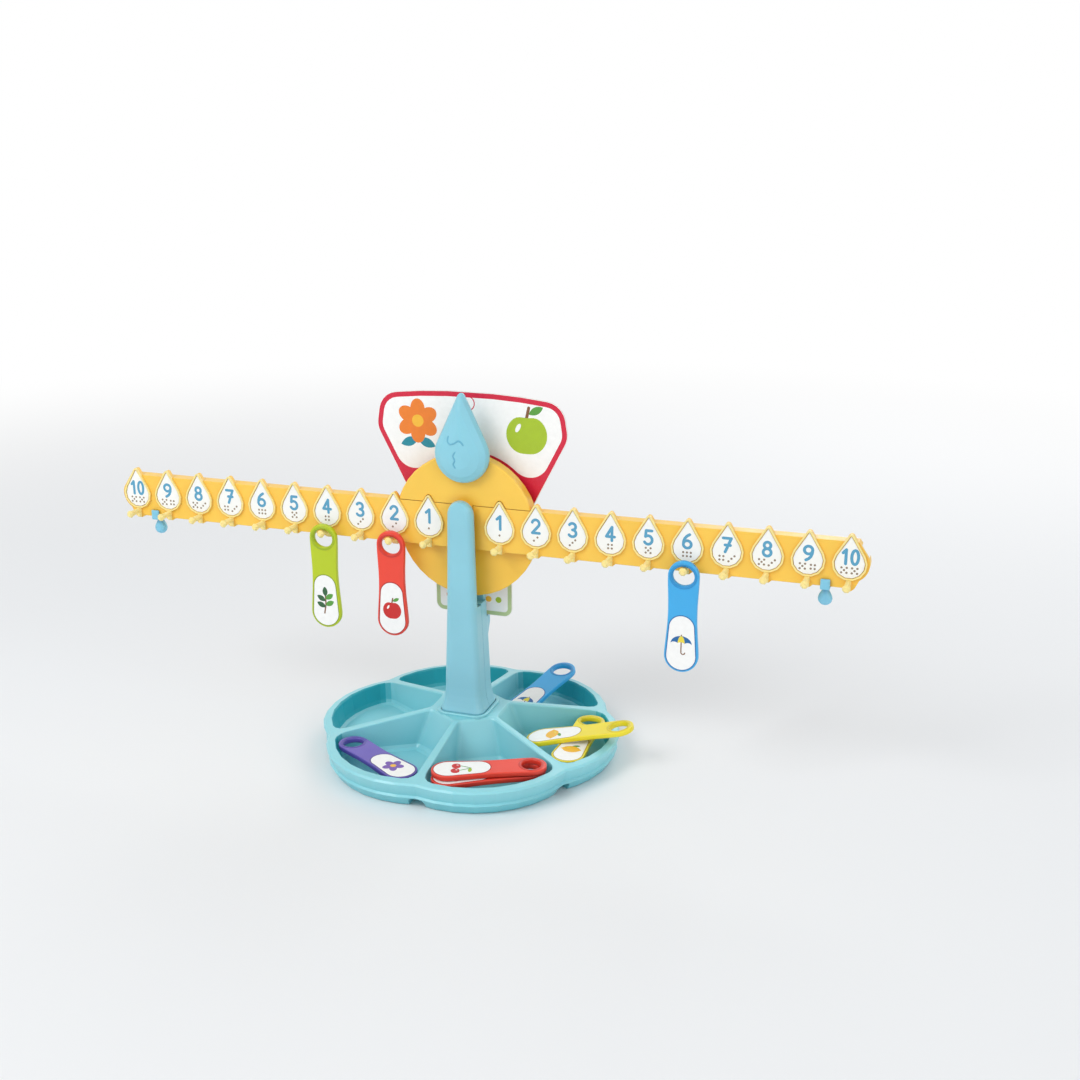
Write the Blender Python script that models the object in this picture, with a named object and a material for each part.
"""Number balance: a tilting number beam on a column that stands in a six-compartment tray.

Frame: metres, +Z up, front of the toy towards -Y, origin under the middle of the tray.
The beam turns about an axle along Y. Tokens hang from the beam's pegs or lie in the tray.
"""
import math

import bmesh
import bpy
from mathutils import Matrix, Vector
from mathutils.bvhtree import BVHTree

# Clearances
GAP = 0.0003             # between two pieces that rest on or in each other
RUN_GAP = 0.0003         # beside a piece that turns or slides
HOLE_GAP = 0.0003        # radial, round a pin or a screw
STOP_GAP = 0.00015       # left at the stop when the beam is fully tilted

# Helper shapes and edges
OVERLAP = 0.001          # how far a cutter or a joined helper shape runs past the face it meets
DEEP_OVERLAP = 0.004     # the same where the face slopes
SOFT_EDGE = 0.0003       # broken edge of a small piece
ROUND_EDGE = 0.0006      # broken edge of a larger piece

# Number beam
PITCH = 0.0175           # from one peg to the next, also from the axle to peg 1
STATIONS = 10            # pegs on each side
NUMBER_HEIGHT = 0.1155   # the row of numbers above the table
BAR_HEIGHT = 0.0208
BAR_BELOW = 0.0139       # bottom of the bar below the row of numbers
BAR_FRONT = -0.0035      # Y of the bar's front face
BAR_DEPTH = 0.006
BAR_SKIN = 0.0018        # front plate, flanges and ribs of the bar
DROP_WIDTH = 0.0148      # raised number drop, outside
DROP_HEIGHT = 0.0206
DROP_TIP_RADIUS = 0.0012
DROP_RAISE = 0.0009      # how far a drop's rim stands proud of the bar
DROP_RIM = 0.0008        # width of the rim
DROP_PLATE = 0.002       # thickness of the drop where it rises above the bar
LABEL_THICKNESS = 0.00025
LABEL_SUNK = 0.0003      # face of a label below its rim
END_MARGIN = 0.0010      # bar beyond the last drop
BAR_END_START = -58.0    # the bar's end follows the last drop between these angles, in degrees
BAR_END_STOP = 20.0

# Pegs
PEG_RADIUS = 0.00135
PEG_REACH = 0.0095       # in front of the bar
PEG_LIP_RADIUS = 0.0019  # rounded end that keeps a token on
PEG_RISE = 0.0024        # peg axis above the bar's bottom edge
PEG_RIB_WIDTH = 0.0022
PEG_RIB_RAISE = 0.0007   # rib from the drop down to the peg, proud of the bar
PEG_BUMP_WIDTH = 0.0052  # swelling of the bottom edge under a peg
PEG_BUMP_DEPTH = 0.0012

# Disc in the middle of the beam
DISC_RADIUS = 0.0345
DISC_PLATE = 0.0028      # thickness of the recessed lower half
DISC_STRIP = 0.0042      # half width of the strip between the two arms
CLIP_RADIUS = 0.002      # pegs that clip an arm to the disc
CLIP_PLACES = (0.0115, 0.0265)
CLIP_PROUD = 0.0008

# Axle and stop
AXLE_ABOVE = 0.004       # axle above the row of numbers
AXLE_RADIUS = 0.0015
AXLE_SEAT = 0.0026       # how deep the axle sits in the column's front tongue
BOSS_RADIUS = 0.0044
TILT_LIMIT = 15.0        # degrees each way
STOP_DROP = 0.014        # stop peg below the axle
STOP_RADIUS = 0.0015
STOP_SLOT_GAP = 0.0004
STOP_SHORT = 0.0004      # end of the stop peg behind the disc's front

# Drop-shaped pointer on the disc
POINTER_WIDTH = 0.0262
POINTER_HEIGHT = 0.0415
POINTER_TIP_RADIUS = 0.0016
POINTER_THICKNESS = 0.0062
POINTER_BASE = 0.0015    # flat edge before the dome starts
POINTER_ABOVE = 0.0180   # bottom of the pointer above the row of numbers
POINTER_PIN_RADIUS = 0.0015
POINTER_PINS = (0.0058, 0.0108)   # pins above the bottom of the pointer

# Column
COLUMN_FRONT = -0.0110   # front face
COLUMN_BACK = 0.0075     # rear face of the body
COLUMN_SEAM = -0.0020    # where the front and rear shells meet
COLUMN_EDGE = 0.0030     # rounded upright edges
TONGUE_THICKNESS = 0.0040
TONGUE_LEDGE = 0.0008    # height of the step from the body back to the tongue
TONGUE_RADIUS = 0.0062   # round top, also half its width at the axle
BODY_HALF_WIDTH = 0.0072  # at the top of the body
BODY_LOW_HALF_WIDTH = 0.0087
FOOT_FLARE = 0.0021      # how far the foot spreads at its lower edge
FOOT_EDGE = 0.0015       # upright edge under the flare
FLARE_HEIGHT = 0.016
BODY_TOP_GAP = 0.0030    # under the disc
COLUMN_WALL = 0.0018
CAVITY_LEAST = 0.002     # a lower space between two bosses stays solid
POST_THICKNESS = 0.0030  # upright behind the disc
POST_ROOT = 0.002        # how far the upright reaches into the body
POST_INSET = 0.0006      # the upright is narrower than the body by this on each side

# Card holder behind the column
CARD_THICKNESS = 0.0006
CARD_SHELF_BELOW = 0.0500  # bottom of the card slot below the row of numbers
CARD_CLIP_HEIGHT = 0.040
CARD_CLIP_THICKNESS = 0.0020
CARD_CLIP_HALF_WIDTH = 0.0070
SHELF_BRACKET = 0.011    # height of the sloping bracket under the slot
SHELF_SLOPE = 0.0001     # fall of the shelf from the slot outwards
BRACKET_TOE = 0.0004     # thickness of the bracket at its lower end
CLIP_TAPER = 0.0004      # how much each face of the clip leans in at its round top

# Cards
QUESTION_WIDTH = 0.0385
QUESTION_HEIGHT = 0.085
QUESTION_CORNER = 0.004
FAN_WIDTH = 0.0940       # indicator card at its shoulders
FAN_TOP_WIDTH = 0.0890   # at the top edge, before the corners are rounded
FAN_ABOVE = 0.0580       # middle of the top edge above the row of numbers
FAN_BULGE = 0.0030       # how much higher the middle of the top edge is than its ends
FAN_SHOULDER = 0.0390    # shoulders above the row of numbers
FAN_WAIST = 0.0050       # where its sides meet the stem, above the row of numbers
FAN_WAIST_WIDTH = 0.0590
FAN_CORNER = 0.0100
FAN_NECK = 0.0130        # where the stem widens, below the row of numbers
STEM_WIDTH = 0.0120
NECK_CORNER = 0.004
WAIST_CORNER = 0.002

# Screws
SCREW_RADIUS = 0.0013
SCREW_HEAD_RADIUS = 0.0026
SCREW_HEAD = 0.0018
COLUMN_SCREW_HEIGHTS = (0.0335, 0.0470)
COLUMN_SCREW_LENGTH = 0.0120
BASE_SCREW_LENGTH = 0.0110

# Tray
TRAY_RADIUS = 0.0735     # rim, in the middle of a compartment
COMPARTMENTS = 6
SCALLOP = 0.66           # radius of one bulge, as a share of the tray's radius
RIM_HEIGHT = 0.0120
RIM_WALL = 0.0030
RIM_ROUND = 0.0009
SKIRT_HEIGHT = 0.0056    # height of the step round the outside
SKIRT_STEP = 0.0009
SKIRT_INSET = 0.0010     # top of the skirt, inside the rim
FOOT_INSET = 0.0035      # outline at the table, inside the rim
TRAY_FLOOR = 0.0020
OUTER_CORNER = 0.0060    # plan corners of a compartment, at the rim
INNER_CORNER = 0.0035    # and at the hub
FLOOR_ROUND = 0.0022
DIVIDER_WIDTH = 0.0030   # at its top, before rounding
DIVIDER_DRAFT = 0.0014   # how much each side spreads towards the floor
WALL_DRAFT = 0.0030      # how far the outer wall leans in towards the floor
HUB_HEIGHT = 0.0210
HUB_RADIUS = 0.0195      # corners of the hub's top
HUB_SPREAD = 0.0075      # how far the hub's faces spread towards the floor
HUB_WALL = 0.0022
HOLLOW_ROUND = 0.001     # rounded ceiling of the hollow under the hub
COLLAR_HEIGHT = 0.0012
COLLAR_WIDTH = 0.0014
NOTCH_WIDTH = 0.0080     # arched notch in the skirt at the end of each divider
NOTCH_HEIGHT = 0.0042
NOTCH_DEPTH = 0.0050

# Sliding weights on the bar's bottom edge
SLIDER_PLACE = 9.45      # in pitches from the axle
SLIDER_WIDTH = 0.0042
SLIDER_LEG = 0.0034      # how high its legs reach up the bar
SLIDER_SKIN = 0.0012
SLIDER_BULB_WIDTH = 0.0066
SLIDER_BULB_HEIGHT = 0.0088
SLIDER_BULB_THICKNESS = 0.0050
SLIDER_TIP_RADIUS = 0.0011

# Weight tokens
TOKEN_TOP_RADIUS = 0.0070
TOKEN_LOW_RADIUS = 0.00775
TOKEN_WAIST = 0.0065     # half width at the narrowest place
TOKEN_SPAN = 0.0373      # from the middle of the hole to the middle of the round lower end
TOKEN_THICKNESS = 0.0024
TOKEN_EDGE = 0.0004
TOKEN_HOLE = (0.0049, 0.0044)     # half width and half height of the oval hole
TOKEN_FLAT_SHARE = 0.755  # middle of a token that lies flat, as a share of the tray's radius
TOKEN_LEAN_SHARE = 0.65   # middle of a token that leans on the rim
TOKEN_OVER_SHARE = 0.77   # middle of a token whose hole hangs over the rim

# Heights and depths that follow
BAR_BOTTOM = NUMBER_HEIGHT - BAR_BELOW
BAR_TOP = BAR_BOTTOM + BAR_HEIGHT
BAR_MIDDLE = (BAR_BOTTOM + BAR_TOP) / 2
BAR_BACK = BAR_FRONT + BAR_DEPTH
AXLE_HEIGHT = NUMBER_HEIGHT + AXLE_ABOVE
DISC_FRONT = 0.0                                # front face of the recessed lower half
DISC_BACK = DISC_FRONT + DISC_PLATE
DISC_BOTTOM = BAR_MIDDLE - DISC_RADIUS
BODY_TOP = DISC_BOTTOM - BODY_TOP_GAP
TONGUE_BACK = COLUMN_FRONT + TONGUE_THICKNESS
POST_FRONT = DISC_BACK + RUN_GAP
POST_BACK = POST_FRONT + POST_THICKNESS
CARD_SHELF = NUMBER_HEIGHT - CARD_SHELF_BELOW
FAN_FRONT = POST_BACK + GAP
QUESTION_FRONT = FAN_FRONT + CARD_THICKNESS + GAP
CLIP_FRONT = QUESTION_FRONT + CARD_THICKNESS + GAP
CLIP_BACK = CLIP_FRONT + CARD_CLIP_THICKNESS
PEG_HEIGHT = BAR_BOTTOM + PEG_RISE
FOOT_BOTTOM = HUB_HEIGHT + GAP

# Numbers of facets
ARC_STEPS = 5            # on one rounded corner
TRAY_STEPS = 48          # round the tray, a multiple of the number of compartments
DROP_STEPS = 13
DISC_STEPS = 40
PIN_STEPS = 12
TOKEN_STEPS = 6          # on each round end of a token
PEG_STEPS = 8
POINTER_STEPS = 24
SLIDER_STEPS = 12
WALL_STEPS = 6           # along the outer wall of a compartment
CORNER_STEPS = 3         # on a plan corner of a compartment
BORE_STEPS = 20          # round the axle's boss and bore


def clear_scene():
    for existing in list(bpy.data.objects):
        bpy.data.objects.remove(existing, do_unlink=True)


def plastic(name, colour, roughness=0.35, metallic=0.0):
    material = bpy.data.materials.new(name)
    material.use_nodes = True
    shader = material.node_tree.nodes["Principled BSDF"]
    shader.inputs["Base Color"].default_value = (*colour, 1.0)
    shader.inputs["Roughness"].default_value = roughness
    shader.inputs["Metallic"].default_value = metallic
    material.diffuse_color = (*colour, 1.0)
    return material


def link(name, mesh, material=None):
    obj = bpy.data.objects.new(name, mesh)
    bpy.context.collection.objects.link(obj)
    if material is not None:
        mesh.materials.append(material)
    return obj


def mesh_from(bm, name, smooth_angle=35.0):
    bmesh.ops.recalc_face_normals(bm, faces=bm.faces)
    mesh = bpy.data.meshes.new(name)
    bm.to_mesh(mesh)
    bm.free()
    mesh.shade_smooth()
    mesh.set_sharp_from_angle(angle=math.radians(smooth_angle))
    return mesh


def loft_into(bm, rings):
    """Skin a list of rings that have the same number of points, and cap both ends."""
    rows = [[bm.verts.new(point) for point in ring] for ring in rings]
    count = len(rows[0])
    for lower, upper in zip(rows, rows[1:]):
        for i in range(count):
            j = (i + 1) % count
            bm.faces.new((lower[i], lower[j], upper[j], upper[i]))
    bm.faces.new(list(reversed(rows[0])))
    bm.faces.new(rows[-1])


def upright(outline, y):
    """Stand an (x, z) outline up at depth y."""
    return [(x, y, z) for x, z in outline]


def prism_into(bm, outline, front, back):
    loft_into(bm, [upright(outline, front), upright(outline, back)])


def box_into(bm, low, high):
    x0, y0, z0 = low
    x1, y1, z1 = high
    prism_into(bm, [(x0, z0), (x1, z0), (x1, z1), (x0, z1)], y0, y1)


def turned_into(bm, centre, profile, steps=PIN_STEPS, axis="Y"):
    """Turn a profile of (distance along the axis, radius) about the axis through centre."""
    rings = []
    for along, radius in profile:
        ring = []
        for i in range(steps):
            angle = 2 * math.pi * (i + 0.5) / steps
            across = radius * math.cos(angle)
            up = radius * math.sin(angle)
            offset = (across, along, up) if axis == "Y" else (across, up, along)
            ring.append(tuple(c + o for c, o in zip(centre, offset)))
        rings.append(ring)
    loft_into(bm, rings)


def boolean(target, name, operation, tool_bm, overlapping=False):
    """Cut or join with a helper shape, which stays in the scene as a wire guide."""
    tool = link(name, mesh_from(tool_bm, name))
    tool.hide_render = True
    tool.display_type = "WIRE"
    modifier = target.modifiers.new(name, "BOOLEAN")
    modifier.operation = operation
    modifier.object = tool
    modifier.solver = "EXACT"
    modifier.use_self = overlapping
    return tool


def arc(centre, radius, start, end, steps):
    """Points on an arc from start to end, both in degrees."""
    points = []
    for i in range(steps + 1):
        angle = math.radians(start + (end - start) * i / steps)
        points.append((centre[0] + radius * math.cos(angle), centre[1] + radius * math.sin(angle)))
    return points


def drop_outline(width, height, bottom, tip_radius, middle=0.0, steps=DROP_STEPS):
    """Teardrop with a round lower end and a small rounded tip, counter-clockwise."""
    radius = width / 2
    low = (middle, bottom + radius)
    tip = (middle, bottom + height - tip_radius)
    lean = math.degrees(math.asin((radius - tip_radius) / (tip[1] - low[1])))
    outline = arc(low, radius, 180 - lean, 360 + lean, steps - 4)
    outline += arc(tip, tip_radius, lean, 180 - lean, 3)
    return outline


def rounded_polygon(corners, radii, steps=ARC_STEPS):
    """Counter-clockwise polygon whose corners are rounded with arcs."""
    outline = []
    count = len(corners)
    for i, corner in enumerate(corners):
        here = Vector(corner)
        before = (Vector(corners[i - 1]) - here).normalized()
        after = (Vector(corners[(i + 1) % count]) - here).normalized()
        radius = radii[i]
        if radius <= 0:
            outline.append(tuple(here))
            continue
        half = before.angle(after) / 2
        middle = here + (before + after).normalized() * radius / math.sin(half)
        start = here + before * radius / math.tan(half) - middle
        end = here + after * radius / math.tan(half) - middle
        first = math.atan2(start.y, start.x)
        turn = (math.atan2(end.y, end.x) - first) % (2 * math.pi)
        for k in range(steps + 1):
            angle = first + turn * k / steps
            outline.append((middle.x + radius * math.cos(angle), middle.y + radius * math.sin(angle)))
    return outline


def inset(outline, distance):
    """Move each point of a counter-clockwise outline inwards, square to its neighbours."""
    moved = []
    count = len(outline)
    for i in range(count):
        before = Vector(outline[i - 1])
        after = Vector(outline[(i + 1) % count])
        along = (after - before).normalized()
        here = Vector(outline[i])
        moved.append((here.x - along.y * distance, here.y + along.x * distance))
    return moved


# Tray

def scallop_radius(angle, radius):
    """Radius of the scalloped outline at an angle measured from the front, in radians."""
    sector = 2 * math.pi / COMPARTMENTS
    off_middle = (angle % sector) - sector / 2
    bulge = SCALLOP * radius
    offset = radius - bulge
    return offset * math.cos(off_middle) + math.sqrt(bulge ** 2 - (offset * math.sin(off_middle)) ** 2)


def polar(angle, radius, z):
    """Point at an angle from the front of the toy, turning towards +X."""
    return (radius * math.sin(angle), -radius * math.cos(angle), z)


def tray_slope(radius):
    """Height of the tray's top, which falls from the hub to the rim."""
    share = (radius - HUB_RADIUS) / (TRAY_RADIUS - HUB_RADIUS)
    return HUB_HEIGHT - (HUB_HEIGHT - RIM_HEIGHT) * min(max(share, 0.0), 1.0)


def tray_ring(shrink, z, steps=TRAY_STEPS):
    ring = []
    for i in range(steps):
        angle = 2 * math.pi * i / steps
        ring.append(polar(angle, scallop_radius(angle, TRAY_RADIUS) - shrink, z))
    return ring


def hub_ring(steps=TRAY_STEPS):
    ring = []
    sector = 2 * math.pi / COMPARTMENTS
    for i in range(steps):
        angle = 2 * math.pi * i / steps
        off_middle = (angle % sector) - sector / 2
        ring.append(polar(angle, HUB_RADIUS * math.cos(sector / 2) / math.cos(off_middle), HUB_HEIGHT))
    return ring


def compartment_outline(rise):
    """Plan of one compartment, opening along +X, at a share of the way up from floor to rim."""
    sector = 2 * math.pi / COMPARTMENTS
    half = sector / 2
    low = 1.0 - rise
    hub_face = HUB_RADIUS * math.cos(half) + HUB_SPREAD * low
    side = DIVIDER_WIDTH / 2 + DIVIDER_DRAFT * low
    outer = RIM_WALL + WALL_DRAFT * low
    bulge = SCALLOP * TRAY_RADIUS - outer
    centre = TRAY_RADIUS - SCALLOP * TRAY_RADIUS
    corner = OUTER_CORNER

    def side_point(along):
        return Vector((along * math.cos(half) + side * math.sin(half),
                       along * math.sin(half) - side * math.cos(half)))

    inner_along = (hub_face - side * math.sin(half)) / math.cos(half)
    inner = side_point(inner_along)
    reach = bulge - corner
    foot = Vector((centre, 0.0))
    direction = Vector((math.cos(half), math.sin(half)))
    normal = Vector((-direction.y, direction.x))
    shift = side_point(0.0) - normal * corner - foot
    middle_term = shift.dot(direction)
    along = -middle_term + math.sqrt(middle_term ** 2 - shift.dot(shift) + reach ** 2)
    fillet = side_point(along) - normal * corner
    on_arc = (fillet - foot).normalized()
    start = math.degrees(math.atan2(on_arc.y, on_arc.x))
    side_angle = math.degrees(math.atan2(normal.y, normal.x))
    outline = arc((foot.x, foot.y), bulge, -start, start, WALL_STEPS)
    outline += arc((fillet.x, fillet.y), corner, start, side_angle, CORNER_STEPS)[1:]
    upper = rounded_polygon([tuple(side_point(along)), tuple(inner), (inner.x, 0.0)],
                            [0.0, INNER_CORNER, 0.0], CORNER_STEPS)[1:-1]
    outline += upper
    outline += [(x, -y) for x, y in reversed(upper)]
    lower = arc((fillet.x, -fillet.y), corner, -side_angle, -start, CORNER_STEPS)[:-1]
    outline += lower
    return outline


def compartment_cutter(bm, angle):
    """Compartment with a rounded floor edge, and a flare that rounds the tops of its walls."""
    turn = Matrix.Rotation(angle - math.pi / 2, 4, "Z")
    floor = TRAY_FLOOR
    deep = HUB_HEIGHT - floor

    def ring(outline, heights):
        return [tuple(turn @ Vector((x, y, z))) for (x, y), z in zip(outline, heights)]

    rings = []
    for drop, height in ((FLOOR_ROUND, 0.0), (FLOOR_ROUND * 0.30, FLOOR_ROUND * 0.30), (0.0, FLOOR_ROUND)):
        outline = inset(compartment_outline(height / deep), drop)
        rings.append(ring(outline, [floor + height] * len(outline)))
    top = compartment_outline(1.0)
    slopes = [tray_slope(math.hypot(x, y)) for x, y in top]
    walls = []
    for i, slope in enumerate(slopes):
        rise = (slope - RIM_ROUND - floor) / deep
        walls.append(compartment_outline(rise)[i])
    rings.append(ring(walls, [slope - RIM_ROUND for slope in slopes]))
    flared = inset(walls, -RIM_ROUND)
    rings.append(ring(flared, [slope + RIM_ROUND * 0.4 for slope in slopes]))
    rings.append(ring(flared, [HUB_HEIGHT + DEEP_OVERLAP] * len(flared)))
    loft_into(bm, rings)


def foot_section(grow=0.0):
    """Plan of the column's foot, (x, y) counter-clockwise."""
    half = BODY_LOW_HALF_WIDTH + FOOT_FLARE + grow
    front = COLUMN_FRONT - FOOT_FLARE - grow
    back = COLUMN_BACK + FOOT_FLARE + grow
    radius = COLUMN_EDGE + FOOT_FLARE * 0.5 + grow
    return rounded_polygon([(-half, front), (half, front), (half, back), (-half, back)], [radius] * 4)


def make_tray(material):
    bm = bmesh.new()
    rings = [
        tray_ring(FOOT_INSET + ROUND_EDGE, 0.0),
        tray_ring(FOOT_INSET, ROUND_EDGE),
        tray_ring(SKIRT_INSET, SKIRT_HEIGHT - SKIRT_STEP),
        tray_ring(SKIRT_INSET + SKIRT_STEP, SKIRT_HEIGHT),
        tray_ring(0.0, RIM_HEIGHT - RIM_ROUND),
        tray_ring(RIM_ROUND, RIM_HEIGHT),
        hub_ring(),
    ]
    loft_into(bm, rings)
    tray = link("tray", mesh_from(bm, "tray"), material)

    sector = 2 * math.pi / COMPARTMENTS
    cutter = bmesh.new()
    for i in range(COMPARTMENTS):
        compartment_cutter(cutter, sector * (i + 0.5))
    boolean(tray, "tray_compartments_cutter", "DIFFERENCE", cutter)

    cutter = bmesh.new()
    for i in range(COMPARTMENTS):
        angle = sector * i
        middle = scallop_radius(angle, TRAY_RADIUS) - FOOT_INSET
        half = NOTCH_WIDTH / 2
        outline = [(-half, -OVERLAP), (half, -OVERLAP)]
        outline += rounded_polygon([(-half, 0.0), (half, 0.0), (half, NOTCH_HEIGHT), (-half, NOTCH_HEIGHT)],
                                   [0.0, 0.0, half * 0.6, half * 0.6], 4)[2:]
        ends = []
        for reach in (middle - NOTCH_DEPTH, middle + NOTCH_DEPTH):
            ends.append([tuple(Matrix.Rotation(angle, 4, "Z") @ Vector((x, -reach, z))) for x, z in outline])
        loft_into(cutter, ends)
    boolean(tray, "tray_notch_cutter", "DIFFERENCE", cutter)

    collar = bmesh.new()
    for_collar = foot_section(GAP + COLLAR_WIDTH)
    loft_into(collar, [[(x, y, HUB_HEIGHT - OVERLAP) for x, y in for_collar],
                       [(x, y, HUB_HEIGHT + COLLAR_HEIGHT - SOFT_EDGE) for x, y in for_collar],
                       [(x, y, HUB_HEIGHT + COLLAR_HEIGHT) for x, y in inset(for_collar, SOFT_EDGE)]])
    boolean(tray, "tray_collar", "UNION", collar)
    socket = bmesh.new()
    inner = foot_section(GAP)
    loft_into(socket, [[(x, y, z) for x, y in inner] for z in (HUB_HEIGHT, HUB_HEIGHT + DEEP_OVERLAP)])
    boolean(tray, "tray_socket_cutter", "DIFFERENCE", socket)

    hollow = bmesh.new()
    rings = []
    ceiling = HUB_HEIGHT - HUB_WALL
    for z, shrink in ((-OVERLAP, 0.0), (ceiling - HOLLOW_ROUND, 0.0), (ceiling, HOLLOW_ROUND)):
        rise = (z - TRAY_FLOOR) / (HUB_HEIGHT - TRAY_FLOOR)
        corner = HUB_RADIUS + HUB_SPREAD * (1 - rise) - HUB_WALL - shrink
        rings.append([polar(sector * i, corner, z) for i in range(COMPARTMENTS)])
    loft_into(hollow, rings)
    boolean(tray, "tray_hub_hollow_cutter", "DIFFERENCE", hollow)

    bore = bmesh.new()
    turned_into(bore, (0.0, base_screw_depth(), 0.0),
                [(HUB_HEIGHT - HUB_WALL - DEEP_OVERLAP, SCREW_RADIUS + HOLE_GAP),
                 (HUB_HEIGHT + DEEP_OVERLAP, SCREW_RADIUS + HOLE_GAP)], axis="Z")
    boolean(tray, "tray_screw_cutter", "DIFFERENCE", bore)
    return tray


def base_screw_depth():
    """Y of the screw that holds the column to the tray, in the middle of the rear shell."""
    return (COLUMN_SEAM + COLUMN_BACK) / 2


# Column

def column_half_width(z):
    """Half width of the column at a height: flared foot, tapered body, round-topped tongue."""
    flare_start = FOOT_BOTTOM + FOOT_EDGE
    if z <= flare_start:
        return BODY_LOW_HALF_WIDTH + FOOT_FLARE
    low_body = flare_start + FLARE_HEIGHT
    if z < low_body:
        share = 1 - (z - flare_start) / FLARE_HEIGHT
        return BODY_LOW_HALF_WIDTH + FOOT_FLARE * share ** 3
    if z < BODY_TOP:
        share = (z - low_body) / (BODY_TOP - low_body)
        return BODY_LOW_HALF_WIDTH + (BODY_HALF_WIDTH - BODY_LOW_HALF_WIDTH) * share
    if z < AXLE_HEIGHT:
        share = (z - BODY_TOP) / (AXLE_HEIGHT - BODY_TOP)
        return BODY_HALF_WIDTH + (TONGUE_RADIUS - BODY_HALF_WIDTH) * share
    return math.sqrt(max(TONGUE_RADIUS ** 2 - (z - AXLE_HEIGHT) ** 2, 0.0))


def column_spread(z):
    """How far the foot's front and back spread at a height."""
    flare_start = FOOT_BOTTOM + FOOT_EDGE
    share = 1 - min(max((z - flare_start) / FLARE_HEIGHT, 0.0), 1.0)
    return FOOT_FLARE * share ** 3


def shell_section(z, face, seam, steps=4):
    """Plan at height z: rounded corners at the face, square ones at the seam."""
    half = column_half_width(z)
    face = face + math.copysign(column_spread(z), face - seam)
    limit = min(half * 0.95, abs(face - seam) * 0.9)
    radius = min(COLUMN_EDGE + column_spread(z) * 0.5, limit)
    if face < seam:
        corners = [(-half, face), (half, face), (half, seam), (-half, seam)]
        radii = [radius, radius, 0.0, 0.0]
    else:
        corners = [(half, face), (-half, face), (-half, seam), (half, seam)]
        radii = [radius, radius, 0.0, 0.0]
    return [(x, y, z) for x, y in rounded_polygon(corners, radii, steps)]


def body_heights():
    """Heights of the sections from the foot to the top of the column's body."""
    start = FOOT_BOTTOM + FOOT_EDGE
    heights = [FOOT_BOTTOM]
    heights += [start + FLARE_HEIGHT * share for share in (0.0, 0.12, 0.26, 0.45, 0.7, 1.0)]
    return heights


def dome_heights():
    """Heights of the sections of the tongue's round top."""
    return [AXLE_HEIGHT + TONGUE_RADIUS * math.sin(math.radians(a)) for a in (0, 20, 38, 54, 68, 79, 86)]


def make_column_front(material):
    seam = COLUMN_SEAM - GAP / 2
    sections = [shell_section(z, COLUMN_FRONT, seam) for z in body_heights()]
    sections.append(shell_section(BODY_TOP - TONGUE_LEDGE, COLUMN_FRONT, seam))
    sections.append(shell_section(BODY_TOP, COLUMN_FRONT, TONGUE_BACK))
    sections += [shell_section(z, COLUMN_FRONT, TONGUE_BACK) for z in dome_heights()]
    bm = bmesh.new()
    loft_into(bm, sections)
    front = link("column_front", mesh_from(bm, "column_front"), material)

    cutter = bmesh.new()
    for low, high in cavity_spans():
        wide = min(column_half_width(low), column_half_width(high)) - COLUMN_WALL
        box_into(cutter, (-wide, COLUMN_FRONT + COLUMN_WALL, low), (wide, COLUMN_SEAM + DEEP_OVERLAP, high))
    boolean(front, "column_front_cavity_cutter", "DIFFERENCE", cutter)

    bores = bmesh.new()
    seat = TONGUE_BACK - AXLE_SEAT - GAP
    turned_into(bores, (0.0, 0.0, AXLE_HEIGHT),
                [(seat, AXLE_RADIUS + HOLE_GAP), (TONGUE_BACK + OVERLAP, AXLE_RADIUS + HOLE_GAP)])
    tip = COLUMN_BACK - SCREW_HEAD - GAP - COLUMN_SCREW_LENGTH - GAP
    for height in COLUMN_SCREW_HEIGHTS:
        turned_into(bores, (0.0, 0.0, height),
                    [(tip, SCREW_RADIUS + HOLE_GAP), (COLUMN_SEAM + OVERLAP, SCREW_RADIUS + HOLE_GAP)])
    boolean(front, "column_front_bore_cutter", "DIFFERENCE", bores)
    return front


def cavity_spans():
    """Heights between the screw bosses, where the shells are hollow."""
    boss = SCREW_HEAD_RADIUS + COLUMN_WALL
    spans = []
    low = FOOT_BOTTOM + FOOT_EDGE + COLUMN_WALL
    for height in COLUMN_SCREW_HEIGHTS:
        if height - boss - low > CAVITY_LEAST:
            spans.append((low, height - boss))
        low = height + boss
    spans.append((low, BODY_TOP - COLUMN_WALL))
    return spans


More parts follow.
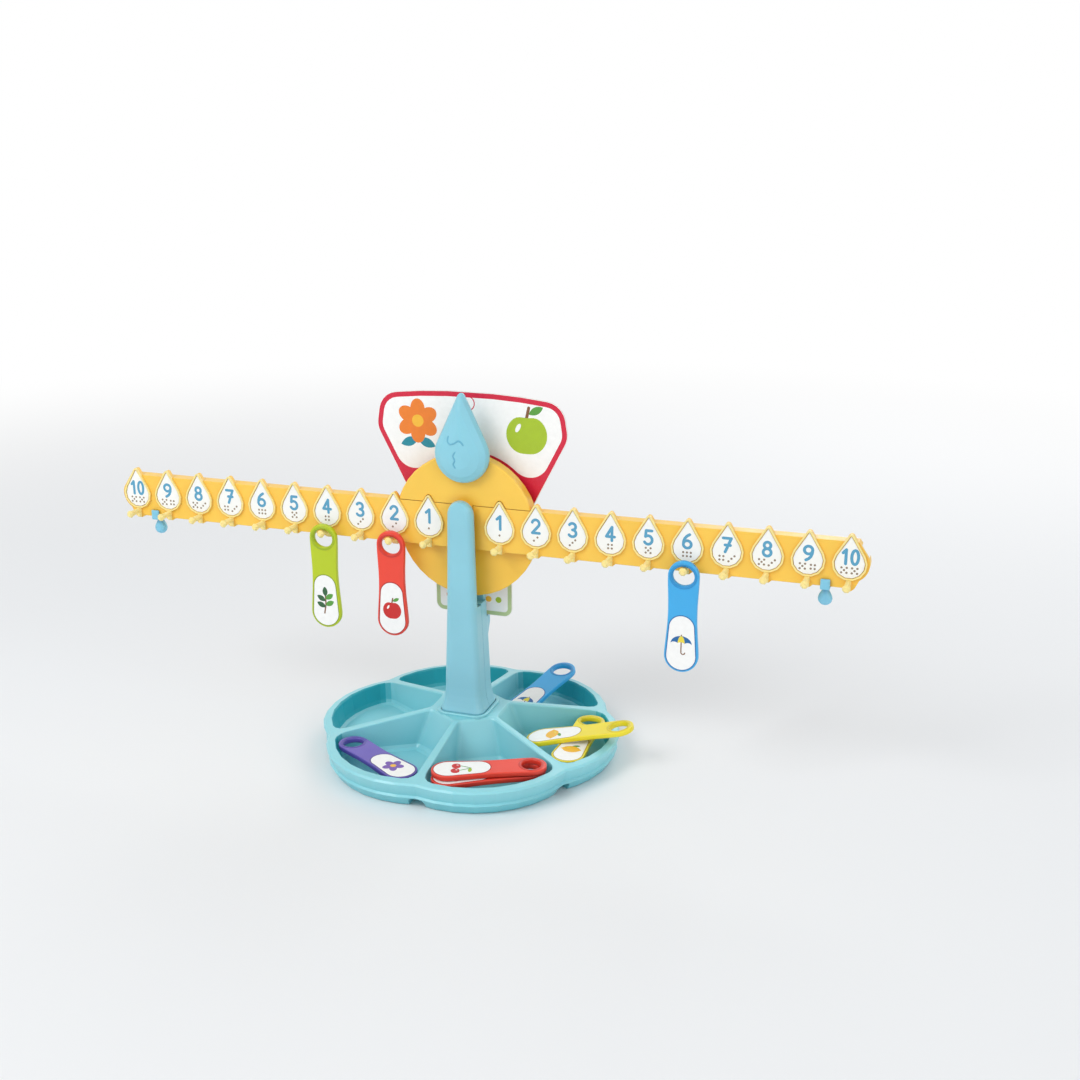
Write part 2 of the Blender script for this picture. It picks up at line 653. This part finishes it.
def make_column_rear(material):
    seam = COLUMN_SEAM + GAP / 2
    sections = [shell_section(z, COLUMN_BACK, seam) for z in body_heights()]
    sections.append(shell_section(BODY_TOP, COLUMN_BACK, seam))
    bm = bmesh.new()
    loft_into(bm, sections)
    rear = link("column_rear", mesh_from(bm, "column_rear"), material)

    slot = bmesh.new()
    reach = QUESTION_WIDTH
    box_into(slot, (-reach, POST_FRONT + POST_THICKNESS / 2, CARD_SHELF),
             (reach, COLUMN_BACK + 0.01, BODY_TOP + 0.01))
    boolean(rear, "column_slot_cutter", "DIFFERENCE", slot)

    post = bmesh.new()
    half = column_half_width(BODY_TOP) - POST_INSET
    outline = [(-half, CARD_SHELF - POST_ROOT), (half, CARD_SHELF - POST_ROOT)]
    outline += arc((0.0, AXLE_HEIGHT), TONGUE_RADIUS, 0, 180, 12)
    prism_into(post, outline, POST_FRONT, POST_BACK)
    boolean(rear, "column_post", "UNION", post)

    holder = bmesh.new()
    inside = COLUMN_BACK - OVERLAP
    half = CARD_CLIP_HALF_WIDTH
    steps = [(CARD_SHELF - SHELF_BRACKET, inside, inside + BRACKET_TOE, half),
             (CARD_SHELF - SHELF_BRACKET * 0.35, inside, CLIP_BACK, half),
             (CARD_SHELF - SHELF_SLOPE, inside, CLIP_BACK, half),
             (CARD_SHELF, CLIP_FRONT, CLIP_BACK, half)]
    top = CARD_SHELF + CARD_CLIP_HEIGHT - half
    angles = (0, 20, 40, 60, 75, 86)
    for angle in angles:
        turn = math.radians(angle)
        edge = CLIP_TAPER * angle / angles[-1]
        steps.append((top + half * math.sin(turn), CLIP_FRONT + edge, CLIP_BACK - edge,
                      half * math.cos(turn)))
    loft_into(holder, [[(-h, front, z), (h, front, z), (h, back, z), (-h, back, z)]
                       for z, front, back, h in steps])
    boolean(rear, "card_clip", "UNION", holder)

    stop = bmesh.new()
    tip = DISC_FRONT + STOP_SHORT
    turned_into(stop, (0.0, 0.0, AXLE_HEIGHT - STOP_DROP),
                [(tip, STOP_RADIUS - SOFT_EDGE), (tip + SOFT_EDGE, STOP_RADIUS),
                 (POST_FRONT + OVERLAP, STOP_RADIUS)])
    boolean(rear, "stop_peg", "UNION", stop)

    cutter = bmesh.new()
    bore = SCREW_RADIUS + HOLE_GAP
    head = SCREW_HEAD_RADIUS + HOLE_GAP
    floor = COLUMN_BACK - SCREW_HEAD - GAP
    for height in COLUMN_SCREW_HEIGHTS:
        turned_into(cutter, (0.0, 0.0, height),
                    [(COLUMN_SEAM - OVERLAP, bore), (floor, bore), (floor, head), (COLUMN_BACK + 0.01, head)])
    turned_into(cutter, (0.0, 0.0, AXLE_HEIGHT),
                [(POST_FRONT - OVERLAP, AXLE_RADIUS + HOLE_GAP),
                 (POST_BACK + OVERLAP, AXLE_RADIUS + HOLE_GAP)])
    turned_into(cutter, (0.0, base_screw_depth(), 0.0),
                [(FOOT_BOTTOM - OVERLAP, bore),
                 (HUB_HEIGHT - HUB_WALL - GAP + BASE_SCREW_LENGTH + GAP, bore)], axis="Z")
    boolean(rear, "column_rear_bore_cutter", "DIFFERENCE", cutter)
    return rear


def screw_into(bm, head_centre, length, axis, sign):
    """Pan-head screw whose shank runs from the head along the axis."""
    profile = [(-SCREW_HEAD, SCREW_HEAD_RADIUS * 0.6), (-SCREW_HEAD * 0.6, SCREW_HEAD_RADIUS),
               (0.0, SCREW_HEAD_RADIUS), (0.0, SCREW_RADIUS), (length - SCREW_RADIUS, SCREW_RADIUS),
               (length, SCREW_RADIUS * 0.3)]
    turned_into(bm, head_centre, [(sign * along, radius) for along, radius in profile], 10, axis)


def make_screws(material):
    seat = COLUMN_BACK - SCREW_HEAD
    for name, height in zip(("column_screw_lower", "column_screw_upper"), COLUMN_SCREW_HEIGHTS):
        bm = bmesh.new()
        screw_into(bm, (0.0, seat, height), COLUMN_SCREW_LENGTH, "Y", -1)
        link(name, mesh_from(bm, name), material)
    bm = bmesh.new()
    under = HUB_HEIGHT - HUB_WALL - GAP
    screw_into(bm, (0.0, base_screw_depth(), under), BASE_SCREW_LENGTH, "Z", 1)
    link("base_screw", mesh_from(bm, "base_screw"), material)


def make_axle(material):
    front = TONGUE_BACK - AXLE_SEAT
    back = POST_BACK - GAP
    bm = bmesh.new()
    edge = SOFT_EDGE
    turned_into(bm, (0.0, 0.0, 0.0),
                [(front, AXLE_RADIUS - edge), (front + edge, AXLE_RADIUS),
                 (back - edge, AXLE_RADIUS), (back, AXLE_RADIUS - edge)], 16)
    axle = link("pivot_axle", mesh_from(bm, "pivot_axle"), material)
    axle.location = (0.0, 0.0, AXLE_HEIGHT)
    return axle


# Beam

def place_on_pivot(obj, pivot):
    """Keep the piece where it is drawn, with its origin on the beam's axle."""
    obj.parent = pivot
    obj.matrix_parent_inverse = Matrix.Translation((0.0, 0.0, -AXLE_HEIGHT))


def make_disc(material, pivot):
    centre = (0.0, BAR_MIDDLE)
    outline = arc(centre, DISC_RADIUS, 0, 360, DISC_STEPS)[:-1]
    edge = ROUND_EDGE
    bm = bmesh.new()
    loft_into(bm, [upright(inset(outline, edge), BAR_FRONT), upright(outline, BAR_FRONT + edge),
                   upright(outline, DISC_BACK - edge), upright(inset(outline, edge), DISC_BACK)])
    disc = link("beam_disc", mesh_from(bm, "beam_disc"), material)

    recess = bmesh.new()
    wide = DISC_RADIUS + DEEP_OVERLAP
    high = BAR_TOP + GAP
    low = BAR_BOTTOM - GAP
    floor = DISC_BOTTOM - DEEP_OVERLAP
    outline = [(-wide, floor), (wide, floor), (wide, high), (DISC_STRIP, high), (DISC_STRIP, low),
               (-DISC_STRIP, low), (-DISC_STRIP, high), (-wide, high)]
    prism_into(recess, outline, BAR_FRONT - DEEP_OVERLAP, DISC_FRONT)
    boolean(disc, "disc_recess_cutter", "DIFFERENCE", recess)

    tips = bmesh.new()
    for side in (-1, 1):
        for number in (1, 2):
            outline = drop_outline(DROP_WIDTH, DROP_HEIGHT, NUMBER_HEIGHT - DROP_HEIGHT / 2,
                                   DROP_TIP_RADIUS, station(side, number))
            prism_into(tips, inset(outline, -GAP), BAR_FRONT - OVERLAP, BAR_FRONT + DROP_PLATE + GAP)
    boolean(disc, "disc_drop_cutter", "DIFFERENCE", tips)

    boss = bmesh.new()
    turned_into(boss, (0.0, 0.0, AXLE_HEIGHT),
                [(TONGUE_BACK + RUN_GAP, BOSS_RADIUS - ROUND_EDGE),
                 (TONGUE_BACK + RUN_GAP + ROUND_EDGE, BOSS_RADIUS),
                 (BAR_FRONT + OVERLAP, BOSS_RADIUS)], BORE_STEPS)
    boolean(disc, "disc_boss", "UNION", boss)

    cutter = bmesh.new()
    turned_into(cutter, (0.0, 0.0, AXLE_HEIGHT),
                [(TONGUE_BACK - OVERLAP, AXLE_RADIUS + HOLE_GAP),
                 (DISC_BACK + OVERLAP, AXLE_RADIUS + HOLE_GAP)], BORE_STEPS)
    for side in (-1, 1):
        for place in CLIP_PLACES:
            turned_into(cutter, (side * place, 0.0, BAR_MIDDLE),
                        [(DISC_FRONT - OVERLAP, CLIP_RADIUS + HOLE_GAP),
                         (DISC_BACK + OVERLAP, CLIP_RADIUS + HOLE_GAP)])
    for above in POINTER_PINS:
        turned_into(cutter, (0.0, 0.0, NUMBER_HEIGHT + POINTER_ABOVE + above),
                    [(BAR_FRONT - OVERLAP, POINTER_PIN_RADIUS + HOLE_GAP),
                     (DISC_BACK + OVERLAP, POINTER_PIN_RADIUS + HOLE_GAP)])
    slot_half = STOP_RADIUS + STOP_SLOT_GAP
    turn = TILT_LIMIT - math.degrees((STOP_SLOT_GAP - STOP_GAP) / STOP_DROP)
    centre = (0.0, AXLE_HEIGHT)
    first = (-STOP_DROP * math.sin(math.radians(turn)),
             AXLE_HEIGHT - STOP_DROP * math.cos(math.radians(turn)))
    last = (-first[0], first[1])
    outline = arc(centre, STOP_DROP + slot_half, 270 - turn, 270 + turn, 8)
    outline += arc(last, slot_half, 270 + turn, 450 + turn, 6)[1:-1]
    outline += arc(centre, STOP_DROP - slot_half, 270 + turn, 270 - turn, 8)
    outline += arc(first, slot_half, 90 - turn, 270 - turn, 6)[1:-1]
    prism_into(cutter, outline, DISC_FRONT - OVERLAP, DISC_BACK + OVERLAP)
    boolean(disc, "disc_hole_cutter", "DIFFERENCE", cutter)
    place_on_pivot(disc, pivot)
    return disc


def station(side, number):
    return side * number * PITCH


def bar_outline(side):
    """Front view of one arm without its drops: straight top, swellings under the pegs, round end."""
    inner = DISC_STRIP + GAP
    last = STATIONS * PITCH
    end_radius = DROP_WIDTH / 2 + END_MARGIN
    outline = [(inner, BAR_BOTTOM)]
    half = PEG_BUMP_WIDTH / 2
    for number in range(1, STATIONS + 1):
        x = number * PITCH
        outline += [(x - half, BAR_BOTTOM), (x - half * 0.45, BAR_BOTTOM - PEG_BUMP_DEPTH),
                    (x + half * 0.45, BAR_BOTTOM - PEG_BUMP_DEPTH), (x + half, BAR_BOTTOM)]
    low = NUMBER_HEIGHT - DROP_HEIGHT / 2 + DROP_WIDTH / 2
    outline += arc((last, low), end_radius, BAR_END_START, BAR_END_STOP, 8)
    outline.append((last + DROP_WIDTH * 0.22, BAR_TOP))
    outline.append((inner, BAR_TOP))
    if side < 0:
        outline = [(-x, z) for x, z in reversed(outline)]
    return outline


def make_arm(side, name, material, pivot):
    """One arm: channel section with ribs, ten raised drops and ten pegs."""
    outline = bar_outline(side)
    bm = bmesh.new()
    prism_into(bm, outline, BAR_FRONT, BAR_BACK)
    arm = link(name, mesh_from(bm, name), material)

    drops = bmesh.new()
    bottom = NUMBER_HEIGHT - DROP_HEIGHT / 2
    front = BAR_FRONT - DROP_RAISE
    for number in range(1, STATIONS + 1):
        outline = drop_outline(DROP_WIDTH, DROP_HEIGHT, bottom, DROP_TIP_RADIUS, station(side, number))
        prism_into(drops, outline, front, BAR_FRONT + DROP_PLATE)
    boolean(arm, name + "_drops", "UNION", drops)

    pockets = bmesh.new()
    floor = front + LABEL_SUNK + LABEL_THICKNESS + GAP
    for number in range(1, STATIONS + 1):
        outline = drop_outline(DROP_WIDTH, DROP_HEIGHT, bottom, DROP_TIP_RADIUS, station(side, number))
        prism_into(pockets, inset(outline, DROP_RIM), front - OVERLAP, floor)
    boolean(arm, name + "_pocket_cutter", "DIFFERENCE", pockets)

    cells = bmesh.new()
    for number in range(3, STATIONS + 1):
        x = station(side, number)
        half = (PITCH - BAR_SKIN) / 2
        box_into(cells, (x - half, BAR_FRONT + BAR_SKIN, BAR_BOTTOM + BAR_SKIN),
                 (x + half, BAR_BACK + OVERLAP, BAR_TOP - BAR_SKIN))
    boolean(arm, name + "_cell_cutter", "DIFFERENCE", cells)

    seat = bmesh.new()
    outline = arc((0.0, BAR_MIDDLE), DISC_RADIUS + GAP, 0, 360, DISC_STEPS)[:-1]
    prism_into(seat, outline, DISC_FRONT - GAP, BAR_BACK + DEEP_OVERLAP)
    boolean(arm, name + "_seat_cutter", "DIFFERENCE", seat)

    added = bmesh.new()
    for place in CLIP_PLACES:
        turned_into(added, (side * place, 0.0, BAR_MIDDLE),
                    [(DISC_FRONT - OVERLAP, CLIP_RADIUS), (DISC_BACK + CLIP_PROUD - SOFT_EDGE, CLIP_RADIUS),
                     (DISC_BACK + CLIP_PROUD, CLIP_RADIUS - SOFT_EDGE)])
    rib = PEG_RIB_WIDTH / 2
    for number in range(1, STATIONS + 1):
        x = station(side, number)
        low = BAR_BOTTOM - PEG_BUMP_DEPTH + SOFT_EDGE
        high = bottom + SOFT_EDGE
        outline = [(x - rib, low), (x + rib, low), (x + rib, high), (x - rib, high)]
        prism_into(added, outline, BAR_FRONT - PEG_RIB_RAISE, BAR_FRONT + ROUND_EDGE)
    boolean(arm, name + "_ribs", "UNION", added)

    pegs = bmesh.new()
    tip = BAR_FRONT - PEG_REACH
    lip = PEG_LIP_RADIUS
    for number in range(1, STATIONS + 1):
        turned_into(pegs, (station(side, number), 0.0, PEG_HEIGHT),
                    [(tip, lip * 0.5), (tip + lip * 0.7, lip), (tip + lip * 1.7, PEG_RADIUS),
                     (BAR_FRONT + OVERLAP, PEG_RADIUS)], PEG_STEPS)
    boolean(arm, name + "_pegs", "UNION", pegs)
    place_on_pivot(arm, pivot)
    return arm


def make_labels(side, name, material, pivot):
    """Thin drop-shaped stickers, one in the pocket of each drop."""
    bottom = NUMBER_HEIGHT - DROP_HEIGHT / 2
    front = BAR_FRONT - DROP_RAISE + LABEL_SUNK
    for number in range(1, STATIONS + 1):
        outline = drop_outline(DROP_WIDTH, DROP_HEIGHT, bottom, DROP_TIP_RADIUS, station(side, number))
        bm = bmesh.new()
        prism_into(bm, inset(outline, DROP_RIM + GAP), front, front + LABEL_THICKNESS)
        label = link(f"{name}_{number}", mesh_from(bm, name), material)
        place_on_pivot(label, pivot)


def make_pointer(material, pivot):
    """Domed drop that shows the tilt, with two pins that hold it in the disc."""
    bottom = NUMBER_HEIGHT + POINTER_ABOVE
    back = BAR_FRONT - GAP
    outline = drop_outline(POINTER_WIDTH, POINTER_HEIGHT, bottom, POINTER_TIP_RADIUS, steps=POINTER_STEPS)
    centre = Vector((0.0, bottom + POINTER_WIDTH / 2))
    rings = [upright(outline, back), upright(outline, back - POINTER_BASE)]
    dome = POINTER_THICKNESS - POINTER_BASE
    for angle in (20, 42, 64, 82):
        share = math.cos(math.radians(angle))
        depth = back - POINTER_BASE - dome * math.sin(math.radians(angle))
        ring = [tuple(centre + (Vector(point) - centre) * share) for point in outline]
        rings.append(upright(ring, depth))
    bm = bmesh.new()
    loft_into(bm, rings)
    pointer = link("pointer_drop", mesh_from(bm, "pointer_drop"), material)
    pins = bmesh.new()
    for above in POINTER_PINS:
        turned_into(pins, (0.0, 0.0, bottom + above),
                    [(back - OVERLAP, POINTER_PIN_RADIUS), (DISC_BACK - SOFT_EDGE, POINTER_PIN_RADIUS),
                     (DISC_BACK, POINTER_PIN_RADIUS - SOFT_EDGE)])
    boolean(pointer, "pointer_pins", "UNION", pins)
    place_on_pivot(pointer, pivot)
    return pointer


def make_slider(side, name, material, pivot):
    """Small sliding weight: a clip over the bar's bottom edge with a drop-shaped bulb under it."""
    middle = side * SLIDER_PLACE * PITCH
    half = SLIDER_WIDTH / 2
    front_in = BAR_FRONT - RUN_GAP
    back_in = BAR_BACK + RUN_GAP
    floor = BAR_BOTTOM - RUN_GAP
    section = [(front_in - SLIDER_SKIN, floor - SLIDER_SKIN), (back_in + SLIDER_SKIN, floor - SLIDER_SKIN),
               (back_in + SLIDER_SKIN, BAR_BOTTOM + SLIDER_LEG), (back_in, BAR_BOTTOM + SLIDER_LEG),
               (back_in, floor), (front_in, floor), (front_in, BAR_BOTTOM + SLIDER_LEG),
               (front_in - SLIDER_SKIN, BAR_BOTTOM + SLIDER_LEG)]
    bm = bmesh.new()
    loft_into(bm, [[(middle + x, y, z) for y, z in section] for x in (-half, half)])
    slider = link(name, mesh_from(bm, name), material)
    bulb = bmesh.new()
    bottom = floor - SLIDER_SKIN * 0.6 - SLIDER_BULB_HEIGHT
    outline = drop_outline(SLIDER_BULB_WIDTH, SLIDER_BULB_HEIGHT, bottom, SLIDER_TIP_RADIUS,
                           middle, SLIDER_STEPS)
    depth = (BAR_FRONT + BAR_BACK) / 2
    thick = SLIDER_BULB_THICKNESS / 2
    rings = []
    centre = Vector((middle, bottom + SLIDER_BULB_WIDTH / 2))
    for angle in (-72, -40, 0, 40, 72):
        share = math.cos(math.radians(angle)) ** 0.7
        ring = [tuple(centre + (Vector(point) - centre) * share) for point in outline]
        rings.append(upright(ring, depth + thick * math.sin(math.radians(angle))))
    loft_into(bulb, rings)
    boolean(slider, name + "_bulb", "UNION", bulb)
    place_on_pivot(slider, pivot)
    return slider


# Cards

def make_question_card(material):
    half = QUESTION_WIDTH / 2
    low = CARD_SHELF + GAP
    outline = rounded_polygon([(-half, low), (half, low), (half, low + QUESTION_HEIGHT),
                               (-half, low + QUESTION_HEIGHT)], [QUESTION_CORNER] * 4)
    bm = bmesh.new()
    prism_into(bm, outline, QUESTION_FRONT, QUESTION_FRONT + CARD_THICKNESS)
    return link("question_card", mesh_from(bm, "question_card"), material)


def make_indicator_card(material):
    """Fan-shaped card behind the pointer, with a stem that stands in the card slot."""
    top = NUMBER_HEIGHT + FAN_ABOVE - FAN_BULGE
    shoulder = NUMBER_HEIGHT + FAN_SHOULDER
    waist = NUMBER_HEIGHT + FAN_WAIST
    low = CARD_SHELF + GAP
    corners = [(STEM_WIDTH / 2, low), (STEM_WIDTH / 2, NUMBER_HEIGHT - FAN_NECK),
               (FAN_WAIST_WIDTH / 2, waist), (FAN_WIDTH / 2, shoulder), (FAN_TOP_WIDTH / 2, top)]
    corners += [(FAN_TOP_WIDTH / 2 * share, top + FAN_BULGE * (1 - share ** 2)) for share in (0.55, 0.25)]
    corners += [(-x, z) for x, z in reversed(corners)]
    radii = [0.0, NECK_CORNER, WAIST_CORNER, FAN_CORNER, FAN_CORNER, 0.0, 0.0]
    radii += list(reversed(radii))
    bm = bmesh.new()
    prism_into(bm, rounded_polygon(corners, radii), FAN_FRONT, FAN_FRONT + CARD_THICKNESS)
    return link("indicator_card", mesh_from(bm, "indicator_card"), material)


# Weight tokens

def token_outline():
    """Long plate, round at both ends and narrower between them; the hole's middle is the origin."""
    upper = arc((0.0, 0.0), TOKEN_TOP_RADIUS, 0, 180, TOKEN_STEPS)
    lower = arc((0.0, -TOKEN_SPAN), TOKEN_LOW_RADIUS, 180, 360, TOKEN_STEPS)
    side = []
    for share in (0.2, 0.4, 0.6, 0.8):
        straight = TOKEN_TOP_RADIUS + (TOKEN_LOW_RADIUS - TOKEN_TOP_RADIUS) * share
        middle = (TOKEN_TOP_RADIUS + TOKEN_LOW_RADIUS) / 2
        width = straight - (middle - TOKEN_WAIST) * math.sin(math.pi * share) ** 1.5
        side.append((width, -TOKEN_SPAN * share))
    left = [(-x, z) for x, z in side]
    return upper + left + lower + list(reversed(side))


def make_token_mesh(name, material):
    outline = token_outline()
    half = TOKEN_THICKNESS / 2
    edge = TOKEN_EDGE
    bm = bmesh.new()
    loft_into(bm, [upright(inset(outline, edge), -half), upright(outline, edge - half),
                   upright(outline, half - edge), upright(inset(outline, edge), half)])
    mesh = mesh_from(bm, name)
    mesh.materials.append(material)
    return mesh


def make_token(name, material, place):
    token = link(name, make_token_mesh(name, material))
    hole = bmesh.new()
    wide, high = TOKEN_HOLE
    outline = [(wide * math.cos(a), high * math.sin(a))
               for a in (2 * math.pi * i / PIN_STEPS for i in range(PIN_STEPS))]
    prism_into(hole, outline, -TOKEN_THICKNESS, TOKEN_THICKNESS)
    cutter = boolean(token, name + "_hole_cutter", "DIFFERENCE", hole)
    token.matrix_world = place
    cutter.matrix_world = place
    return token, cutter


def hanging_place(number):
    """Hole over a peg: the token hangs with the top of its hole just over the peg."""
    x = number * PITCH
    y = BAR_FRONT - PEG_REACH * 0.55
    z = PEG_HEIGHT + PEG_RADIUS + GAP - TOKEN_HOLE[1]
    return Matrix.Translation((x, y, z))


def lying_place(angle, radius, heading, height, tilt=0.0):
    """Token on its back: middle at a polar place, hole end towards heading and raised by tilt."""
    x, y, _ = polar(math.radians(angle), radius, 0.0)
    turn = math.radians(heading)
    lean = math.radians(tilt)
    along = Vector((math.cos(turn) * math.cos(lean), math.sin(turn) * math.cos(lean), math.sin(lean)))
    across = Vector((-math.sin(turn), math.cos(turn), 0.0))
    up = along.cross(across)
    basis = Matrix((across, up, along)).transposed().to_4x4()
    own_middle = Matrix.Translation((0.0, 0.0, TOKEN_SPAN / 2))
    return Matrix.Translation((x, y, height)) @ basis @ own_middle


def world_tree(obj):
    """Corners and faces of a finished piece, in world space, ready for ray casts."""
    depsgraph = bpy.context.evaluated_depsgraph_get()
    evaluated = obj.evaluated_get(depsgraph)
    mesh = evaluated.to_mesh()
    points = [obj.matrix_world @ vertex.co for vertex in mesh.vertices]
    faces = [tuple(polygon.vertices) for polygon in mesh.polygons]
    evaluated.to_mesh_clear()
    return points, BVHTree.FromPolygons(points, faces)


def settle(token, cutter, supports):
    """Lower a token straight down until it lies a clearance above what carries it."""
    bpy.context.view_layer.update()
    points, tree = world_tree(token)
    down = Vector((0.0, 0.0, -1.0))
    drop = HUB_HEIGHT * 4
    for support in supports:
        corners, below = world_tree(support)
        for point in points:
            hit = below.ray_cast(point, down)
            if hit[0] is not None:
                drop = min(drop, hit[3])
        for corner in corners:
            hit = tree.ray_cast(corner, -down)
            if hit[0] is not None:
                drop = min(drop, hit[3])
    shift = Matrix.Translation((0.0, 0.0, GAP - drop))
    for obj in (token, cutter):
        obj.matrix_world = shift @ obj.matrix_world
    bpy.context.view_layer.update()


def tray_tokens(violet, red, lemon, blue):
    """Name, material, angle from the front, radius, heading of the hole end and tilt, lowest first."""
    flat = TRAY_RADIUS * TOKEN_FLAT_SHARE
    leaning = TRAY_RADIUS * TOKEN_LEAN_SHARE
    return (
        ("tray_token_violet", violet, -30, flat, 150, 0),
        ("tray_token_red_low", red, 30, flat, 30, 0),
        ("tray_token_red_high", red, 30.5, flat * 0.98, 25, 0),
        ("tray_token_lemon_low", lemon, 90, flat, 90, 0),
        ("tray_token_lemon_high", lemon, 88, TRAY_RADIUS * TOKEN_OVER_SHARE, 8, 12),
        ("tray_token_blue", blue, 153, leaning, 70, 13),
    )


def build():
    clear_scene()
    teal = plastic("teal_plastic", (0.29, 0.66, 0.76), 0.32)
    aqua = plastic("aqua_plastic", (0.23, 0.68, 0.77), 0.32)
    yellow = plastic("yellow_plastic", (0.99, 0.63, 0.09), 0.34)
    blue = plastic("blue_plastic", (0.06, 0.42, 0.72), 0.32)
    label = plastic("white_label", (0.92, 0.93, 0.90), 0.45)
    steel = plastic("zinc_steel", (0.55, 0.56, 0.58), 0.3, 1.0)
    crimson_card = plastic("crimson_card", (0.55, 0.02, 0.06), 0.55)
    green_card = plastic("green_card", (0.62, 0.74, 0.45), 0.55)
    lime = plastic("lime_plastic", (0.50, 0.66, 0.02), 0.34)
    red = plastic("red_plastic", (0.84, 0.07, 0.03), 0.34)
    violet = plastic("violet_plastic", (0.12, 0.07, 0.42), 0.34)
    lemon = plastic("lemon_plastic", (0.90, 0.72, 0.02), 0.34)

    tray = make_tray(aqua)
    make_column_front(teal)
    make_column_rear(teal)
    make_screws(steel)
    make_axle(steel)

    pivot = bpy.data.objects.new("beam_pivot", None)
    pivot.location = (0.0, 0.0, AXLE_HEIGHT)
    bpy.context.collection.objects.link(pivot)
    make_disc(yellow, pivot)
    for side, word in ((-1, "left"), (1, "right")):
        make_arm(side, "beam_arm_" + word, yellow, pivot)
        make_labels(side, "number_label_" + word, label, pivot)
        make_slider(side, "slider_" + word, blue, pivot)
    make_pointer(teal, pivot)

    make_indicator_card(crimson_card)
    make_question_card(green_card)

    for name, material, number in (("token_lime", lime, -4), ("token_red", red, -2), ("token_blue", blue, 6)):
        make_token(name, material, hanging_place(number))
    supports = [tray]
    above = HUB_HEIGHT * 2
    for name, material, angle, radius, heading, tilt in tray_tokens(violet, red, lemon, blue):
        token, cutter = make_token(name, material, lying_place(angle, radius, heading, above, tilt))
        settle(token, cutter, supports)
        supports.append(token)


build()
